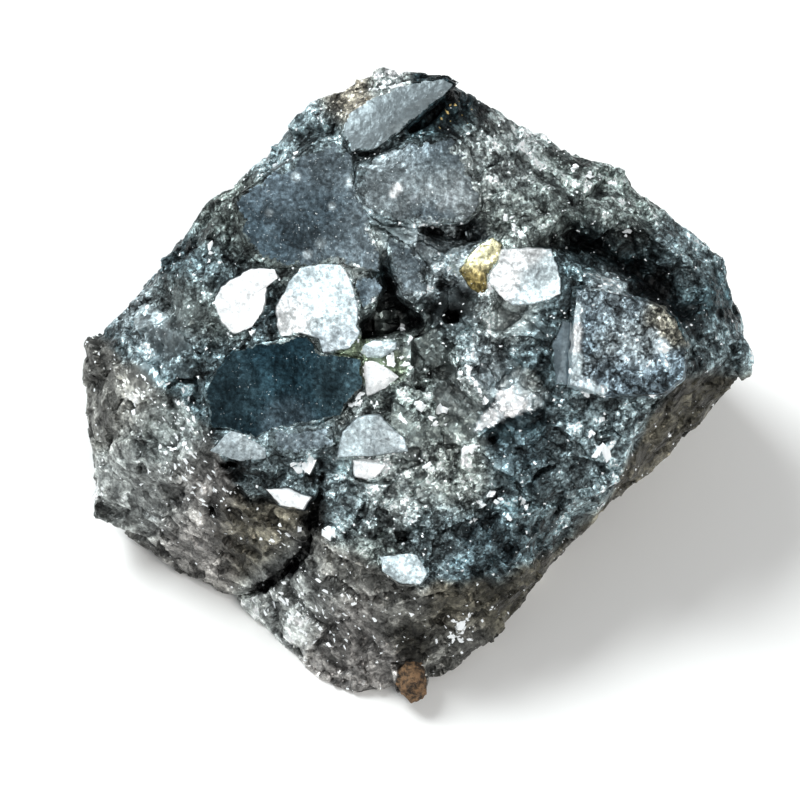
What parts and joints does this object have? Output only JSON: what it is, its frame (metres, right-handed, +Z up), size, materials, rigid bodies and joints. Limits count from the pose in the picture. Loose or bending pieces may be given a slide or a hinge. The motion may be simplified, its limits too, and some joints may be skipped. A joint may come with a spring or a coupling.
{
  "type": "skutterudite specimen",
  "caption": "Broken hand specimen of massive grey metallic arsenide ore with smooth crystal faces grown into its leaning upper side, resting on a flat base.",
  "frame": {"origin": "middle of the specimen's box, on the flat base", "axes": "+X to the right across the upper face, +Y up the slope of the upper face towards the high crest, +Z up"},
  "size_m": [0.0506, 0.0394, 0.0321],
  "materials": {
    "ore": "satin",
    "crystal_face": "gloss",
    "bright_face": "gloss",
    "dark_face": "gloss",
    "chalcopyrite": "gloss",
    "limonite": "matte"
  },
  "bodies": {
    "root": {"ore_body": "ore", "crest_crystal": "crystal_face", "broad_crystal": "crystal_face", "dome_crystal": "crystal_face", "hollow_side_crystal": "crystal_face", "block_crystal": "crystal_face", "middle_facet_crystal": "crystal_face", "narrow_crystal": "crystal_face", "strip_crystal": "crystal_face", "west_bright_crystal": "bright_face", "centre_bright_crystal": "bright_face", "triangle_crystal": "bright_face", "pale_crystal": "bright_face", "white_ledge_crystal": "bright_face", "lower_bright_crystal": "bright_face", "wedge_crystal": "bright_face", "upper_white_crystal": "bright_face", "low_white_crystal": "bright_face", "left_pale_crystal": "bright_face", "dark_crystal": "dark_face", "chalcopyrite_grain": "chalcopyrite", "limonite_lump": "limonite"}
  },
  "joints": []
}
